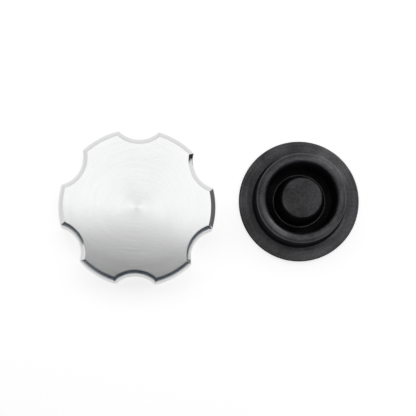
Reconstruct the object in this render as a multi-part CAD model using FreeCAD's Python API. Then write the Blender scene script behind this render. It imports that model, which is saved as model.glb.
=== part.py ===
"""Brake fluid reservoir cap: a billet screw cap and the rubber diaphragm that it clamps on the neck.

Millimetres, +Z up. Both pieces lie on the plane z = 0, side by side along X: the cap mouth down,
the diaphragm on its flange with the fluid side up. The origin is under the middle of the pair.
Each piece is modelled about its own axis and moved to its place at the end.
"""

import FreeCAD
import Part

import math
import os

# Thread on the reservoir's neck: the rest is built outward and upward from it
thread_diameter = 46.6      # root of the cap's internal thread
thread_length = 7.4
thread_lead_in = 0.6        # bevel at the cap's mouth

# Pocket above the thread, where the diaphragm's flange sits
thread_relief = 0.3         # step from the thread's root out to the pocket
flange_clearance = 0.35     # between the flange's rim and the pocket
flange_headroom = 0.4       # height of the pocket beyond the flange's thickness
seat_width = 4.6            # ring of the pocket's ceiling that bears on the flange
air_chamber_depth = 1.0     # recess in the ceiling, inside the seat
air_chamber_round = 0.5
vent_width = 2.0            # slot across the seat that lets air reach the chamber
vent_depth = 0.8

# Outside of the cap
top_plate = 3.0             # metal left above the air chamber
scallop_count = 6
scallop_radius = 10.8
scallop_wall = 2.3          # metal left between a scallop and the pocket
scallop_depth = 4.1         # from the lobes' circle to the scallop's floor
edge_bevel = 1.8            # 45 degree bevel around the top face
edge_round = 1.6            # blend from the bevel into the side
foot_bevel = 0.8            # 45 degree bevel around the foot

# Diaphragm
rubber_wall = 1.1           # thickness of the folded wall
flange_thickness = 2.6
flange_edge_round = 0.4
land_width = 3.1            # flat ring that the neck's rim presses on
root_fillet = 2.8           # from the land up into the ring
crest_height = 18.0         # of the ring and the post, above the land
ring_lean = 0.35            # outer side of the ring, root to crest
groove_width = 1.1          # air groove inside the ring, at the crest
groove_round_share = 0.4    # part of the groove's width rounded on each side of its end
groove_mouth_round = 0.5
well_width = 6.1            # between the crest and the top of the post
well_lean = 1.0             # inner side of the ring, crest to floor
well_fillet = 0.9
post_lean = 2.15            # side of the post, top to floor
post_edge_round = 0.4
post_step_width = 0.45      # step around the foot of the post
post_step_height = 0.4
post_top_thickness = 1.8
cup_round = 0.6             # inside corner at the top of the hollow post

# Where the two pieces lie
lying_gap = 9.2             # clear distance between the two rims along X
lying_shift = 4.5           # the diaphragm lies this much further towards +Y

# Sizes that follow from those above
thread_radius = thread_diameter / 2
pocket_radius = thread_radius + thread_relief
flange_radius = pocket_radius - flange_clearance
chamber_radius = pocket_radius - seat_width
scallop_floor_radius = pocket_radius + scallop_wall
cap_radius = scallop_floor_radius + scallop_depth

thread_end_height = thread_lead_in + thread_length
seat_height = thread_end_height + flange_thickness + flange_headroom
chamber_height = seat_height + air_chamber_depth
cap_height = chamber_height + top_plate

land_height = flange_thickness
crest_level = land_height + crest_height
floor_underside = land_height - rubber_wall
ring_root_radius = flange_radius - land_width - root_fillet
ring_crest_radius = ring_root_radius - ring_lean
well_crest_radius = ring_crest_radius - 2 * rubber_wall - groove_width
well_floor_radius = well_crest_radius - well_lean
post_top_radius = well_crest_radius - well_width
post_root_radius = post_top_radius + post_lean
post_step_radius = post_root_radius + post_step_width
groove_round = groove_round_share * groove_width
crest_round = groove_round + rubber_wall

pair_length = 2 * cap_radius + lying_gap + 2 * flange_radius
cap_place = FreeCAD.Vector(cap_radius - pair_length / 2, 0, 0)
diaphragm_place = FreeCAD.Vector(pair_length / 2 - flange_radius, lying_shift, 0)

Z_AXIS = FreeCAD.Vector(0, 0, 1)
CUT_OVERRUN = 2.0           # how far a cutting shape runs past the faces that it opens


def corner_round(before, corner, after, radius):
    """Start, middle and end of the arc that rounds a corner between two straight sides."""
    to_before = (before - corner).normalize()
    to_after = (after - corner).normalize()
    half_angle = to_before.getAngle(to_after) / 2
    reach = radius / math.tan(half_angle)
    inward = (to_before + to_after).normalize()
    middle = corner + inward * (radius / math.sin(half_angle) - radius)
    return corner + to_before * reach, middle, corner + to_after * reach


def turned(corners):
    """Solid of revolution about Z from the corners (radius, height, rounding) of its half section."""
    points = [FreeCAD.Vector(radius, 0, height) for radius, height, rounding in corners]
    arcs = []
    for i, point in enumerate(points):
        rounding = corners[i][2]
        if rounding:
            arcs.append(corner_round(points[i - 1], point, points[(i + 1) % len(points)], rounding))
        else:
            arcs.append((point, point, point))

    edges = []
    for i, (start, middle, end) in enumerate(arcs):
        if corners[i][2]:
            edges.append(Part.Arc(start, middle, end).toShape())
        edges.append(Part.LineSegment(end, arcs[(i + 1) % len(arcs)][0]).toShape())
    half_section = Part.Face(Part.Wire(edges))
    return half_section.revolve(FreeCAD.Vector(), Z_AXIS, 360)


def turned_blank():
    """The cap as it leaves the lathe: bevelled disc with the threaded bore, pocket and air chamber."""
    return turned([
        (0, cap_height, 0),
        (0, chamber_height, 0),
        (chamber_radius, chamber_height, air_chamber_round),
        (chamber_radius, seat_height, 0),
        (pocket_radius, seat_height, 0),
        (pocket_radius, thread_end_height, 0),
        (thread_radius, thread_end_height, 0),
        (thread_radius, thread_lead_in, 0),
        (thread_radius + thread_lead_in, 0, 0),
        (cap_radius - foot_bevel, 0, 0),
        (cap_radius, foot_bevel, 0),
        (cap_radius, cap_height - edge_bevel, edge_round),
        (cap_radius - edge_bevel, cap_height, 0),
    ])


def scallop_cutter():
    """Form cutter for one scallop; its flares leave the same bevels as the lathe leaves on the lobes."""
    return turned([
        (0, -CUT_OVERRUN, 0),
        (scallop_radius + foot_bevel + CUT_OVERRUN, -CUT_OVERRUN, 0),
        (scallop_radius, foot_bevel, 0),
        (scallop_radius, cap_height - edge_bevel, edge_round),
        (scallop_radius + edge_bevel + CUT_OVERRUN, cap_height + CUT_OVERRUN, 0),
        (0, cap_height + CUT_OVERRUN, 0),
    ])


def vent_slot():
    """Slot across the seat, from the air chamber to the gap around the flange."""
    inner_end = chamber_radius - CUT_OVERRUN
    corner = FreeCAD.Vector(inner_end, -vent_width / 2, seat_height)
    return Part.makeBox(pocket_radius - inner_end, vent_width, vent_depth, corner)


def make_cap():
    cap = turned_blank()
    pitch = 360 / scallop_count
    for i in range(scallop_count):
        cutter = scallop_cutter()
        cutter.translate(FreeCAD.Vector(scallop_floor_radius + scallop_radius, 0, 0))
        cutter.rotate(FreeCAD.Vector(), Z_AXIS, (i + 0.5) * pitch)
        cap = cap.cut(cutter)
    return cap.cut(vent_slot())


def make_diaphragm():
    fluid_side = [
        (0, crest_level, 0),
        (post_top_radius, crest_level, post_edge_round),
        (post_root_radius, land_height + post_step_height, 0),
        (post_step_radius, land_height + post_step_height, 0),
        (post_step_radius, land_height, 0),
        (well_floor_radius, land_height, well_fillet),
        (well_crest_radius, crest_level, crest_round),
        (ring_crest_radius, crest_level, crest_round),
        (ring_root_radius, land_height, root_fillet),
        (flange_radius, land_height, flange_edge_round),
    ]
    air_side = [
        (flange_radius, 0, flange_edge_round),
        (ring_root_radius - rubber_wall, 0, groove_mouth_round),
        (ring_crest_radius - rubber_wall, crest_level - rubber_wall, groove_round),
        (well_crest_radius + rubber_wall, crest_level - rubber_wall, groove_round),
        (well_floor_radius + rubber_wall, floor_underside, well_fillet + rubber_wall),
        (post_root_radius - rubber_wall, floor_underside, well_fillet),
        (post_top_radius - rubber_wall, crest_level - post_top_thickness, cup_round),
        (0, crest_level - post_top_thickness, 0),
    ]
    return turned(fluid_side + air_side)


cap = make_cap()
cap.translate(cap_place)
diaphragm = make_diaphragm()
diaphragm.translate(diaphragm_place)

os.makedirs("parts", exist_ok=True)
cap.exportStep("parts/cap.step")
diaphragm.exportStep("parts/diaphragm.step")
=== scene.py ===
"""Looks of the brake fluid reservoir cap: the billet aluminium cap and its black rubber diaphragm.

Sizes below are millimetres; meshes are made in metres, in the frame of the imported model. Each piece is
a finely divided mesh about its own axis, made from the same half section as its solid.
"""

import math

import bpy
from mathutils import Matrix, Quaternion, Vector


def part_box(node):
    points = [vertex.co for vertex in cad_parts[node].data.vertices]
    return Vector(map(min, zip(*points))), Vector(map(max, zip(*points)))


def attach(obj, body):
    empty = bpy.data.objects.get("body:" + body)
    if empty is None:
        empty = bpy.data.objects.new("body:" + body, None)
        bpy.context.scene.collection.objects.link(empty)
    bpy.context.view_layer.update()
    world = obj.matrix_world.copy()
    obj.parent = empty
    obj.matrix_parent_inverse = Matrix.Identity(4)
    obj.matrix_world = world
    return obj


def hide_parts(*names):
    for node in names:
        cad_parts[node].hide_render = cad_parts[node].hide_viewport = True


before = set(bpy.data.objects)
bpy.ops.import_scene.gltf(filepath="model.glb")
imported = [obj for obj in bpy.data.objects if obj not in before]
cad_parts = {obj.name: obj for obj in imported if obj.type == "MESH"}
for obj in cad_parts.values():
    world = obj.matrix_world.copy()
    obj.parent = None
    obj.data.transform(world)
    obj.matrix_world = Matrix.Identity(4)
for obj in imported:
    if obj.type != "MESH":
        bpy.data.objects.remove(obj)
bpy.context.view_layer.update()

MM = 0.001

# Places and outer sizes, read from the frame
cap_low, cap_high = [Vector(corner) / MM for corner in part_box("cap")]
seal_low, seal_high = [Vector(corner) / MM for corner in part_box("diaphragm")]
cap_axis = (cap_low + cap_high) / 2
seal_axis = (seal_low + seal_high) / 2
cap_radius = (cap_high.x - cap_low.x) / 2
cap_height = cap_high.z
flange_radius = (seal_high.x - seal_low.x) / 2
crest_level = seal_high.z

# Cap, outside
scallop_count = 6
scallop_radius = 10.8
scallop_depth = 4.1
edge_bevel = 1.8
edge_round = 1.6
foot_bevel = 0.8
corner_break = 0.2          # of the corners between lobes and scallops
edge_break = 0.12           # of the other machined edges
face_margin = 0.5           # strip of a flat face that is meshed along its edge

# Cap, inside
thread_radius = 23.3
thread_lead_in = 0.6
thread_end_height = 8.0
pocket_radius = 23.6
seat_height = 11.0
chamber_radius = 19.0
chamber_height = 12.0
chamber_round = 0.5
vent_width = 2.0
vent_depth = 0.8
thread_start_height = 2.0
thread_pitch = 4.0
thread_depth = 1.1
thread_root_width = 2.4
thread_crest_width = 1.0
thread_turns = 1.15
thread_fade = 0.1           # turns over which each end of the thread runs out
thread_sink = 0.1           # of the ridge's root into the wall

# Diaphragm
rubber_wall = 1.1
land_height = 2.6
land_width = 3.1
root_fillet = 2.8
ring_lean = 0.35
groove_width = 1.1
groove_round = 0.44
groove_mouth_round = 0.5
well_width = 6.1
well_lean = 1.0
well_fillet = 0.9
post_lean = 2.15
post_edge_round = 0.4
post_step_width = 0.45
post_step_height = 0.4
post_step_round = 0.1
post_top_thickness = 1.8
cup_round = 0.6
flange_edge_round = 0.4
parting_line = 0.08         # height of the moulding line around the flange's rim
dull_painted_shade_start = 1.15           # where the ring's dull side, darkened with painted shade, starts below the crest, in roundings of the crest
painted_shade_depth = 5.0           # below the crest, where the painted shade of the well and the ring's side is darkest
crest_round = groove_round + rubber_wall

ring_root_radius = flange_radius - land_width - root_fillet
ring_crest_radius = ring_root_radius - ring_lean
well_crest_radius = ring_crest_radius - 2 * rubber_wall - groove_width
well_floor_radius = well_crest_radius - well_lean
post_top_radius = well_crest_radius - well_width
post_root_radius = post_top_radius + post_lean
post_step_radius = post_root_radius + post_step_width
floor_underside = land_height - rubber_wall
painted_shade_start = dull_painted_shade_start * crest_round
painted_shade_start_radius = ring_crest_radius + ring_lean * painted_shade_start / (crest_level - land_height)

# Fineness of the meshes
LOBE_STEPS = 26
SCALLOP_STEPS = 26
CORNER_STEPS = 4
TURN_STEPS = 288
ARC_STEP = math.radians(9)
SHARP_ANGLE = math.radians(35)
PIN_RADIUS = 0.5            # of the small disc that closes a turned mesh at its axis

# Finishes of the cap and of the diaphragm, as places in their lists of materials
FACE, BEVEL, SIDE, BORE = range(4)
# The diaphragm's finishes after SKIN are darker copies of the same rubber: painted shade on the ring's
# side, the flange's rim and the groove beneath, in the well and on the post's top
SKIN, PAINTED_SHADE_SIDE, PAINTED_SHADE_WELL, PAINTED_SHADE_TOP = range(4)


def rounded_path(corners):
    """Points (x, y, finish) along straight runs between corners (x, y, rounding, finish of the run after).

    A rounded corner is an arc, and the finish changes in the middle of it.
    """
    points = []
    for i, (x, y, rounding, finish) in enumerate(corners):
        corner = Vector((x, y))
        if not rounding:
            points.append((x, y, finish))
            continue
        to_before = (Vector(corners[i - 1][:2]) - corner).normalized()
        to_after = (Vector(corners[i + 1][:2]) - corner).normalized()
        half_angle = to_before.angle(to_after) / 2
        centre = corner + (to_before + to_after).normalized() * rounding / math.sin(half_angle)
        start = corner + to_before * rounding / math.tan(half_angle) - centre
        end = corner + to_after * rounding / math.tan(half_angle) - centre
        sweep = math.atan2(start.cross(end), start.dot(end))
        half_steps = max(1, math.ceil(abs(sweep) / ARC_STEP / 2))
        for step in range(2 * half_steps + 1):
            point = centre + Matrix.Rotation(sweep * step / half_steps / 2, 2) @ start
            points.append((point.x, point.y, finish if step >= half_steps else corners[i - 1][3]))
    return points


def arc_points(centre, radius, start, sweep, steps):
    """Points on an arc, all but its last one."""
    angles = [start + sweep * i / steps for i in range(steps)]
    return [centre + radius * Vector((math.cos(a), math.sin(a))) for a in angles]


def scalloped_outline(offset):
    """The cap's outline moved inward by offset, with its corners broken, as a ring of points."""
    pitch = 2 * math.pi / scallop_count
    lobe = cap_radius - offset
    cut = scallop_radius + offset
    cut_centre = Vector((cap_radius - scallop_depth + scallop_radius, 0))

    inner = lobe - corner_break
    outer = cut + corner_break
    x = (inner ** 2 + cut_centre.x ** 2 - outer ** 2) / (2 * cut_centre.x)
    y = math.sqrt(inner ** 2 - x ** 2)
    lobe_end = math.atan2(y, x)
    cut_end = math.pi - math.atan2(y, x - cut_centre.x)
    next_corner = Matrix.Rotation(pitch, 2) @ Vector((x, -y))

    sector = arc_points(cut_centre, cut, math.pi + cut_end, -2 * cut_end, SCALLOP_STEPS)
    sector += arc_points(Vector((x, y)), corner_break, -cut_end, cut_end + lobe_end, CORNER_STEPS)
    sector += arc_points(Vector((0, 0)), lobe, lobe_end, pitch - 2 * lobe_end, LOBE_STEPS)
    sector += arc_points(next_corner, corner_break, pitch - lobe_end, cut_end + lobe_end, CORNER_STEPS)
    ring = []
    for i in range(scallop_count):
        turn = Matrix.Rotation((i + 0.5) * pitch, 2)
        ring += [turn @ point for point in sector]
    return ring


def ring_row(radius, height, angles):
    return [(radius * math.cos(a), radius * math.sin(a), height) for a in angles]


def smooth_but_sharp(mesh):
    for polygon in mesh.polygons:
        polygon.use_smooth = True
    mesh.set_sharp_from_angle(angle=SHARP_ANGLE)


def piece_from_rows(name, rows, finishes, axis):
    """A mesh of quads between closed rows of points, with a face at each end, standing on the given axis.

    The quads after a row, and the face on an end row, have that row's finish.
    """
    count = len(rows[0])
    last = len(rows) - 1
    verts = [Vector(point) * MM for row in rows for point in row]
    faces = []
    face_finishes = []
    for i in range(last):
        for j in range(count):
            k = (j + 1) % count
            faces.append((i * count + j, (i + 1) * count + j, (i + 1) * count + k, i * count + k))
            face_finishes.append(finishes[i])
    faces.append(tuple(range(count)))
    faces.append(tuple(reversed(range(last * count, len(verts)))))
    face_finishes += [finishes[0], finishes[last]]
    mesh = bpy.data.meshes.new(name)
    mesh.from_pydata(verts, [], faces)
    mesh.polygons.foreach_set("material_index", face_finishes)
    smooth_but_sharp(mesh)
    piece = bpy.data.objects.new(name, mesh)
    piece.location = Vector((axis.x, axis.y, 0)) * MM
    bpy.context.collection.objects.link(piece)
    return piece


def box_mesh(name, low, high):
    xs, ys, zs = zip(low, high)
    verts = [Vector((x, y, z)) * MM for x in xs for y in ys for z in zs]
    faces = [(0, 1, 3, 2), (4, 6, 7, 5), (0, 4, 5, 1), (2, 3, 7, 6), (0, 2, 6, 4), (1, 5, 7, 3)]
    mesh = bpy.data.meshes.new(name)
    mesh.from_pydata(verts, [], faces)
    return mesh


def cut_vent(cap):
    """Slot across the seat, from the air chamber to the gap around the flange."""
    low = (chamber_radius - 2 * chamber_round, -vent_width / 2, seat_height - edge_break)
    high = (pocket_radius, vent_width / 2, seat_height + vent_depth)
    slot = bpy.data.objects.new("vent_slot", box_mesh("vent_slot", low, high))
    slot.location = cap.location
    slot.data.polygons.foreach_set("material_index", [BORE] * len(slot.data.polygons))
    bpy.context.collection.objects.link(slot)
    cut = cap.modifiers.new("vent", "BOOLEAN")
    cut.operation = "DIFFERENCE"
    cut.solver = "EXACT"
    cut.object = slot
    whole = cap.data
    cap.data = bpy.data.meshes.new_from_object(cap.evaluated_get(bpy.context.evaluated_depsgraph_get()))
    cap.modifiers.remove(cut)
    smooth_but_sharp(cap.data)
    bpy.data.objects.remove(slot)
    bpy.data.meshes.remove(whole)


def make_cap():
    outside = rounded_path([
        (edge_bevel + face_margin, cap_height, 0, FACE),
        (edge_bevel, cap_height, edge_break, BEVEL),
        (0, cap_height - edge_bevel, edge_round, SIDE),
        (0, foot_bevel, edge_break, SIDE),
        (foot_bevel, 0, edge_break, SIDE),
        (foot_bevel + face_margin, 0, 0, SIDE),
    ])
    mouth_radius = thread_radius + thread_lead_in
    inside = rounded_path([
        (mouth_radius + face_margin, 0, 0, SIDE),
        (mouth_radius, 0, edge_break, BORE),
        (thread_radius, thread_lead_in, edge_break, BORE),
        (thread_radius, thread_end_height, edge_break, BORE),
        (pocket_radius, thread_end_height, edge_break, BORE),
        (pocket_radius, seat_height, edge_break, BORE),
        (chamber_radius, seat_height, edge_break, BORE),
        (chamber_radius, chamber_height, chamber_round, BORE),
        (PIN_RADIUS, chamber_height, 0, BORE),
    ])
    angles = [math.atan2(point.y, point.x) for point in scalloped_outline(0)]
    rows = [[(p.x, p.y, height) for p in scalloped_outline(offset)] for offset, height, finish in outside]
    rows += [ring_row(radius, height, angles) for radius, height, finish in inside]
    cap = piece_from_rows("cap_body", rows, [point[2] for point in outside + inside], cap_axis)
    for finish in (turned_face(), bright_bevel(), milled_side(), turned_bore()):
        cap.data.materials.append(finish)
    cut_vent(cap)
    return cap


def make_thread():
    """Helical ridge inside the bore, running out at both ends."""
    steps = math.ceil(thread_turns * TURN_STEPS)
    rows = []
    for i in range(steps + 1):
        turn = thread_turns * i / steps
        angle = 2 * math.pi * turn
        height = thread_start_height + thread_pitch * turn
        grown = min(1, turn / thread_fade, (thread_turns - turn) / thread_fade)
        root = thread_radius + thread_sink
        crest = thread_radius - thread_depth * grown
        profile = [
            (root, thread_root_width / 2),
            (crest, thread_crest_width / 2),
            (crest, -thread_crest_width / 2),
            (root, -thread_root_width / 2),
        ]
        rows.append([(r * math.cos(angle), r * math.sin(angle), height + z) for r, z in profile])
    thread = piece_from_rows("cap_thread", rows, [0] * len(rows), cap_axis)
    thread.data.materials.append(bpy.data.materials["turned_bore"])
    return thread


def make_diaphragm():
    rim = flange_radius - parting_line
    rim_middle = land_height / 2
    section = rounded_path([
        (PIN_RADIUS, crest_level, 0, PAINTED_SHADE_TOP),
        (post_top_radius, crest_level, post_edge_round, PAINTED_SHADE_WELL),
        (post_root_radius, land_height + post_step_height, post_step_round, SKIN),
        (post_step_radius, land_height + post_step_height, post_step_round, PAINTED_SHADE_WELL),
        (post_step_radius, land_height, post_step_round, PAINTED_SHADE_WELL),
        (well_floor_radius, land_height, well_fillet, PAINTED_SHADE_WELL),
        (well_crest_radius, crest_level, crest_round, SKIN),
        (ring_crest_radius, crest_level, crest_round, SKIN),
        (painted_shade_start_radius, crest_level - painted_shade_start, 0, PAINTED_SHADE_SIDE),
        (ring_root_radius, land_height, root_fillet, SKIN),
        (rim, land_height, flange_edge_round, PAINTED_SHADE_SIDE),
        (rim, rim_middle + 2 * parting_line, 0, PAINTED_SHADE_SIDE),
        (flange_radius, rim_middle, 0, PAINTED_SHADE_SIDE),
        (rim, rim_middle - 2 * parting_line, 0, PAINTED_SHADE_SIDE),
        (rim, 0, flange_edge_round, SKIN),
        (ring_root_radius - rubber_wall, 0, groove_mouth_round, PAINTED_SHADE_SIDE),
        (ring_crest_radius - rubber_wall, crest_level - rubber_wall, groove_round, PAINTED_SHADE_SIDE),
        (well_crest_radius + rubber_wall, crest_level - rubber_wall, groove_round, PAINTED_SHADE_SIDE),
        (well_floor_radius + rubber_wall, floor_underside, well_fillet + rubber_wall, SKIN),
        (post_root_radius - rubber_wall, floor_underside, well_fillet, PAINTED_SHADE_SIDE),
        (post_top_radius - rubber_wall, crest_level - post_top_thickness, cup_round, SKIN),
        (PIN_RADIUS, crest_level - post_top_thickness, 0, SKIN),
    ])
    angles = [2 * math.pi * i / TURN_STEPS for i in range(TURN_STEPS)]
    rows = [ring_row(radius, height, angles) for radius, height, finish in section]
    seal = piece_from_rows("diaphragm_seal", rows, [point[2] for point in section], seal_axis)
    for finish in (rubber_skin(), rubber_side_painted_shade(), rubber_in_well_painted_shade(), rubber_on_post_painted_shade()):
        seal.data.materials.append(finish)
    return seal


# Noise and its smooth steps. Scales of noise are periods in a metre, and the other lengths are metres.
NOISE_STEP = (0.3, 0.7)     # values of a noise between which its effect grows from least to most
GRAIN_DETAIL = 2.0
ACROSS_MARKS = 0.25         # turns the spread gleam from along the marks to across them

# Bare aluminium. Tones are parts of its colour.
METAL_COLOUR = (0.9, 0.903, 0.907)
MARK_BREAKS = 9             # of a tool mark in a turn
MARK_DETAIL = 2.0
MARK_TONE = 0.01
BAND_MARKS = 9              # widths of a tool mark in a band, which has a slightly different tone
BAND_BREAKS = 3
BAND_TONE = 0.007
BAND_ROUGHNESS = 0.015
HANDLING_SCALE = 70.0
HANDLING_DETAIL = 3.0
HANDLING_STEP = (0.35, 0.7)
HANDLING_ROUGHNESS = 0.02
METAL_GRAIN_SCALE = 1400.0
METAL_GRAIN_TONE = 0.016

# Black rubber
RUBBER_TINT = (0.96, 0.95, 1.1)
RING_WIDTH = 0.0006
RING_BREAKS = 5
RING_DETAIL = 3.0
BLOOM_SCALE = 130.0
BLOOM_DETAIL = 4.0
BLOOM_STEP = (0.25, 0.75)
BLOOM_ROUGHNESS = 0.08
SPECKLE_SCALE = 1100.0
RUBBER_GRAIN_SCALE = 5200.0
RUBBER_GRAIN_DEPTH = 0.00003
RUBBER_GRAIN_STRENGTH = 0.3


class Nodes:
    """Short ways to add and join the nodes of one shader tree."""

    def __init__(self, tree):
        self.tree = tree
        tree.nodes.clear()

    def add(self, kind, inputs=None, **settings):
        node = self.tree.nodes.new(kind)
        for key, value in settings.items():
            setattr(node, key, value)
        for key, value in (inputs or {}).items():
            self.put(node.inputs[key], value)
        return node

    def put(self, socket, value):
        """Links a socket to another one, or sets it to a number, colour or vector."""
        if isinstance(value, bpy.types.NodeSocket):
            self.tree.links.new(value, socket)
        else:
            socket.default_value = value

    def math(self, operation, a, b=0.0):
        return self.add("ShaderNodeMath", {0: a, 1: b}, operation=operation).outputs[0]

    def vector_math(self, operation, a, b=(0, 0, 0)):
        return self.add("ShaderNodeVectorMath", {0: a, 1: b}, operation=operation)

    def ramp(self, value, low, high, to_low=0.0, to_high=1.0):
        """Smooth step of value from low..high to to_low..to_high."""
        entries = dict(enumerate((value, low, high, to_low, to_high)))
        return self.add("ShaderNodeMapRange", entries, interpolation_type="SMOOTHSTEP").outputs[0]

    def mix(self, factor, a, b):
        node = self.add("ShaderNodeMix", data_type="RGBA")
        for key, entry in (("Factor", factor), ("A", a), ("B", b)):
            self.put([s for s in node.inputs if s.name == key and s.enabled][0], entry)
        return [s for s in node.outputs if s.enabled][0]

    def noise(self, place, scale, detail):
        inputs = {"Vector": place, "Scale": scale, "Detail": detail}
        return self.add("ShaderNodeTexNoise", inputs).outputs["Fac"]


def grey(value):
    return (value, value, value, 1.0)


def new_material(name):
    material = bpy.data.materials.new(name)
    material.use_nodes = True
    return material, Nodes(material.node_tree)


def polar(nodes):
    """Place on the piece, direction from its axis, distance from its axis and height, in metres."""
    place = nodes.add("ShaderNodeTexCoord").outputs["Object"]
    flat = nodes.vector_math("MULTIPLY", place, (1, 1, 0)).outputs[0]
    radius = nodes.vector_math("LENGTH", flat).outputs["Value"]
    direction = nodes.vector_math("NORMALIZE", flat).outputs[0]
    height = nodes.add("ShaderNodeSeparateXYZ", {0: place}).outputs["Z"]
    return place, direction, radius, height


def streaks(nodes, direction, across, width, breaks, detail):
    """Noise drawn out around the axis: lines about width metres apart, broken about breaks times a turn."""
    around = nodes.vector_math("SCALE", direction)
    around.inputs["Scale"].default_value = breaks / (2 * math.pi)
    line = nodes.add("ShaderNodeCombineXYZ", {"Z": nodes.math("MULTIPLY", across, 1 / width)}).outputs[0]
    return nodes.noise(nodes.vector_math("ADD", around.outputs[0], line).outputs[0], 1.0, detail)


def aluminium(name, across, roughness, anisotropy, mark_width, mark_depth, grain_depth):
    """Bare machined aluminium. The tool marks run around the axis, side by side across radius or height."""
    material, nodes = new_material(name)
    place, direction, radius, height = polar(nodes)
    side = {"radius": radius, "height": height}[across]
    marks = streaks(nodes, direction, side, mark_width, MARK_BREAKS, MARK_DETAIL)
    bands = streaks(nodes, direction, side, BAND_MARKS * mark_width, BAND_BREAKS, MARK_DETAIL)
    handling = nodes.noise(place, HANDLING_SCALE, HANDLING_DETAIL)
    grain = nodes.noise(place, METAL_GRAIN_SCALE, GRAIN_DETAIL)

    tone = nodes.ramp(bands, *NOISE_STEP, 1 - BAND_TONE, 1 + BAND_TONE)
    tone = nodes.math("ADD", tone, nodes.ramp(marks, *NOISE_STEP, -MARK_TONE, MARK_TONE))
    tone = nodes.math("ADD", tone, nodes.ramp(grain, *NOISE_STEP, -METAL_GRAIN_TONE, METAL_GRAIN_TONE))
    colour = nodes.vector_math("SCALE", METAL_COLOUR)
    nodes.put(colour.inputs["Scale"], tone)

    rough = nodes.ramp(bands, *NOISE_STEP, roughness - BAND_ROUGHNESS, roughness + BAND_ROUGHNESS)
    rough = nodes.math("ADD", rough, nodes.ramp(handling, *HANDLING_STEP, 0.0, HANDLING_ROUGHNESS))
    mark_relief = nodes.math("MULTIPLY", marks, mark_depth)
    relief = nodes.math("ADD", mark_relief, nodes.math("MULTIPLY", grain, grain_depth))
    bump = nodes.add("ShaderNodeBump", {"Height": relief, "Strength": 1.0, "Distance": 1.0})
    tangent = nodes.add("ShaderNodeTangent", direction_type="RADIAL", axis="Z")
    shader = nodes.add("ShaderNodeBsdfPrincipled", {
        "Base Color": colour.outputs[0],
        "Metallic": 1.0,
        "Roughness": rough,
        "Anisotropic": anisotropy,
        "Anisotropic Rotation": ACROSS_MARKS,
        "Tangent": tangent.outputs[0],
        "Normal": bump.outputs[0],
    })
    nodes.add("ShaderNodeOutputMaterial", {"Surface": shader.outputs[0]})
    return material


def turned_face():
    return aluminium("turned_face", "radius", roughness=0.2, anisotropy=0.62,
                     mark_width=0.0006, mark_depth=0.000005, grain_depth=0.000006)


def bright_bevel():
    return aluminium("bright_bevel", "height", roughness=0.13, anisotropy=0.0,
                     mark_width=0.0002, mark_depth=0.0000005, grain_depth=0.0)


def milled_side():
    return aluminium("milled_side", "height", roughness=0.24, anisotropy=0.3,
                     mark_width=0.0003, mark_depth=0.000003, grain_depth=0.0)


def turned_bore():
    return aluminium("turned_bore", "height", roughness=0.3, anisotropy=0.3,
                     mark_width=0.0004, mark_depth=0.000006, grain_depth=0.0)


def rubber(name, shade, painted_deep_shade, ring_marks, mottle, roughness, gloss, anisotropy):
    """Black moulded rubber with a fine grain, blotches and faint rings left by the turned mould.

    Its lightness goes from shade at the crest to painted_deep_shade some way down; that fall is painted
    shade, darkening deep places as shadow would. The rings and the blotches make it lighter and darker by
    ring_marks and mottle, which are parts of that lightness.
    """
    material, nodes = new_material(name)
    place, direction, radius, height = polar(nodes)
    across = nodes.math("ADD", radius, height)
    rings = streaks(nodes, direction, across, RING_WIDTH, RING_BREAKS, RING_DETAIL)
    bloom = nodes.noise(place, BLOOM_SCALE, BLOOM_DETAIL)
    speckle = nodes.noise(place, SPECKLE_SCALE, GRAIN_DETAIL)
    grain = nodes.noise(place, RUBBER_GRAIN_SCALE, GRAIN_DETAIL)

    uneven = nodes.ramp(rings, *NOISE_STEP, 1 - ring_marks, 1 + ring_marks)
    for noise in (bloom, speckle):
        uneven = nodes.math("ADD", uneven, nodes.ramp(noise, *NOISE_STEP, -mottle, mottle))
    # Painted shade: the rubber's colour darkens with depth below the crest, as shadow would darken it
    painted_shade_full_level = (crest_level - painted_shade_depth) * MM
    painted_shade_start_level = (crest_level - crest_round / 2) * MM
    painted_depth_shade = nodes.ramp(height, painted_shade_full_level, painted_shade_start_level, painted_deep_shade, shade)
    colour = nodes.vector_math("SCALE", RUBBER_TINT)
    nodes.put(colour.inputs["Scale"], nodes.math("MULTIPLY", uneven, painted_depth_shade))

    rough = nodes.ramp(bloom, *BLOOM_STEP, roughness + BLOOM_ROUGHNESS, roughness - BLOOM_ROUGHNESS)
    bump = nodes.add("ShaderNodeBump", {
        "Height": grain,
        "Strength": RUBBER_GRAIN_STRENGTH,
        "Distance": RUBBER_GRAIN_DEPTH,
    })
    tangent = nodes.add("ShaderNodeTangent", direction_type="RADIAL", axis="Z")
    shader = nodes.add("ShaderNodeBsdfPrincipled", {
        "Base Color": colour.outputs[0],
        "Roughness": rough,
        "Specular IOR Level": gloss,
        "Anisotropic": anisotropy,
        "Anisotropic Rotation": ACROSS_MARKS,
        "Tangent": tangent.outputs[0],
        "Normal": bump.outputs[0],
    })
    nodes.add("ShaderNodeOutputMaterial", {"Surface": shader.outputs[0]})
    return material


def rubber_skin():
    return rubber("black_rubber", shade=0.028, painted_deep_shade=0.028, ring_marks=0.45, mottle=0.4,
                  roughness=0.42, gloss=0.5, anisotropy=0.7)


# Same rubber, darker and duller: painted shade on the ring's side, falling from 0.02 to 0.01 with depth
def rubber_side_painted_shade():
    return rubber("black_rubber_side_painted_shade", shade=0.02, painted_deep_shade=0.01, ring_marks=0.18, mottle=0.16,
                  roughness=0.7, gloss=0.02, anisotropy=0.0)


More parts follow.
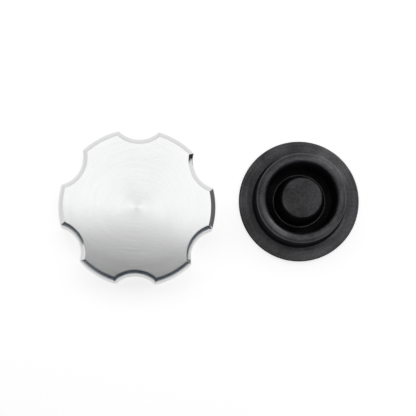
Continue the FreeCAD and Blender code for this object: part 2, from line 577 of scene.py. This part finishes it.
# Same rubber, darker and duller: painted shade in the well, falling from 0.02 to 0.01 with depth
def rubber_in_well_painted_shade():
    return rubber("black_rubber_well_painted_shade", shade=0.02, painted_deep_shade=0.01, ring_marks=0.45, mottle=0.4,
                  roughness=0.75, gloss=0.05, anisotropy=0.0)


# Same rubber, darker than the flange's: painted shade on the post's top, with blotches of its own
def rubber_on_post_painted_shade():
    return rubber("black_rubber_post_painted_shade", shade=0.018, painted_deep_shade=0.018, ring_marks=0.08, mottle=0.5,
                  roughness=0.5, gloss=0.32, anisotropy=0.0)


# Pieces
cap = make_cap()
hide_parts("cap")
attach(cap, "root")

thread = make_thread()
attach(thread, "root")

seal = make_diaphragm()
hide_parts("diaphragm")
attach(seal, "root")

# Floor, in metres
FLOOR_SIZE = 3.0
FLOOR_DROP = 0.00005        # keeps the floor clear of the faces that stand on it
FLOOR_COLOUR = 0.58
FLOOR_LIFT = 0.7            # white that the camera sees in the floor beside its own colour
FLOOR_GLEAM = 0.46          # the same, as glossy surfaces mirror it


def make_floor():
    half = FLOOR_SIZE / 2
    mesh = bpy.data.meshes.new("floor")
    corners = [(-half, -half, 0), (half, -half, 0), (half, half, 0), (-half, half, 0)]
    mesh.from_pydata(corners, [], [(0, 1, 2, 3)])
    floor = bpy.data.objects.new("floor", mesh)
    floor.location.z = -FLOOR_DROP
    bpy.context.collection.objects.link(floor)

    material, nodes = new_material("white_floor")
    path = nodes.add("ShaderNodeLightPath").outputs
    seen = nodes.math("MULTIPLY", path["Is Camera Ray"], FLOOR_LIFT)
    mirrored = nodes.math("MULTIPLY", path["Is Glossy Ray"], FLOOR_GLEAM)
    paper = nodes.add("ShaderNodeBsdfDiffuse", {"Color": grey(FLOOR_COLOUR)})
    lift = nodes.add("ShaderNodeEmission", {"Strength": nodes.math("ADD", seen, mirrored)})
    total = nodes.add("ShaderNodeAddShader", {0: paper.outputs[0], 1: lift.outputs[0]})
    nodes.add("ShaderNodeOutputMaterial", {"Surface": total.outputs[0]})
    mesh.materials.append(material)
    return floor


# Room around the floor. Levels are heights of directions, from 0 at the horizon to 1 straight up.
DARK_SIDE = math.radians(281)
DARK_STEP = (-0.03, 0.11)   # cosines of the angle to the dark side, between which the horizon turns dark
WALL_STEP = (0.15, 0.35)    # levels between which the horizon turns into the walls
DOME_STEP = (0.5, 0.68)     # levels between which the walls turn into the dome
PALE_HORIZON = 0.88
DARK_HORIZON = (0.026, 0.038, 0.055, 1)
WALL_GREY = 0.3
DOME_GREY = 0.04
BACKDROP = 1.0              # what the camera itself sees past the floor


def make_world():
    """Soft grey room: low down pale at the back and dark at the front, dim overhead."""
    world = bpy.data.worlds.new("studio")
    bpy.context.scene.world = world
    world.use_nodes = True
    nodes = Nodes(world.node_tree)
    direction = nodes.add("ShaderNodeTexCoord").outputs["Generated"]
    facing = (math.cos(DARK_SIDE), math.sin(DARK_SIDE), 0)
    toward = nodes.vector_math("DOT_PRODUCT", direction, facing).outputs["Value"]
    level = nodes.add("ShaderNodeSeparateXYZ", {0: direction}).outputs["Z"]
    horizon = nodes.mix(nodes.ramp(toward, *DARK_STEP), grey(PALE_HORIZON), DARK_HORIZON)
    walls = nodes.mix(nodes.ramp(level, *WALL_STEP), horizon, grey(WALL_GREY))
    dome = nodes.mix(nodes.ramp(level, *DOME_STEP), walls, grey(DOME_GREY))
    shown = nodes.mix(nodes.add("ShaderNodeLightPath").outputs["Is Camera Ray"], dome, grey(BACKDROP))
    background = nodes.add("ShaderNodeBackground", {"Color": shown, "Strength": 1.0})
    nodes.add("ShaderNodeOutputWorld", {"Surface": background.outputs[0]})


def softbox(name, place, target, width, length, radiance, lit, turn=0.0):
    """Even rectangular lamp that lights only the lit objects and that the camera doesn't see.

    Places and sizes are millimetres; the turn is about the line from the lamp to its target.
    """
    lamp = bpy.data.lights.new(name, "AREA")
    lamp.shape = "RECTANGLE"
    lamp.size = width * MM
    lamp.size_y = length * MM
    lamp.energy = radiance * math.pi * lamp.size * lamp.size_y
    holder = bpy.data.objects.new(name, lamp)
    holder.location = Vector(place) * MM
    aim = (Vector(place) - Vector(target)).to_track_quat("Z", "Y")
    holder.rotation_euler = (aim @ Quaternion((0, 0, 1), turn)).to_euler()
    holder.visible_camera = False
    bpy.context.collection.objects.link(holder)
    receivers = bpy.data.collections.new(name + "_receivers")
    for thing in lit:
        receivers.objects.link(thing)
    holder.light_linking.receiver_collection = receivers


# Camera: the photograph is seen from almost straight above, and turned a little about that line
CAMERA_PLACE = Vector((-21.8, -66.5, 925.0))
PICTURE_MIDDLE = Vector((-0.45, 1.25, 0.0))
PICTURE_WIDTH = 161.1
PICTURE_TURN = math.radians(1.25)
SENSOR_WIDTH = 36.0
CAMERA_REACH = 10.0         # in metres, past everything that the camera looks at


def make_camera():
    data = bpy.data.cameras.new("camera")
    data.sensor_width = SENSOR_WIDTH
    reach = (PICTURE_MIDDLE - CAMERA_PLACE).length
    data.lens = SENSOR_WIDTH * reach / PICTURE_WIDTH
    data.clip_end = CAMERA_REACH
    camera = bpy.data.objects.new("camera", data)
    back = (CAMERA_PLACE - PICTURE_MIDDLE).normalized()
    up = Vector((-math.sin(PICTURE_TURN), math.cos(PICTURE_TURN), 0))
    right = up.cross(back).normalized()
    up = back.cross(right)
    turn = Matrix((right, up, back)).transposed().to_4x4()
    camera.matrix_world = Matrix.Translation(CAMERA_PLACE * MM) @ turn
    bpy.context.collection.objects.link(camera)
    bpy.context.scene.camera = camera


floor = make_floor()
make_world()
softbox("overhead", (50, 101.5, 215), (50, 101.5, 0), width=800, length=220, radiance=1.05,
        lit=[cap, thread, floor], turn=math.radians(-4))
softbox("card", (6.5, 1, 12), (-30, 1, 12), width=28, length=20, radiance=0.12, lit=[cap])
softbox("fill", (60, -200, 500), (0, 0, 0), width=300, length=300, radiance=1.5, lit=[floor])
softbox("strip", (65, 48, 300), (65, 48, 0), width=160, length=63, radiance=0.9, lit=[seal],
        turn=math.radians(55))
softbox("key", (240, 249, 318), (35, 5, 0), width=180, length=180, radiance=8.5, lit=[seal])
softbox("ceiling", (35, 5, 400), (35, 5, 0), width=320, length=320, radiance=1.2, lit=[seal])
softbox("side", (300, -150, 250), (35, 5, 0), width=150, length=150, radiance=2.5, lit=[seal])
softbox("front", (10, -150, 380), (35, 5, 0), width=130, length=130, radiance=2.2, lit=[seal])
make_camera()
bpy.context.scene.view_settings.view_transform = "Standard"
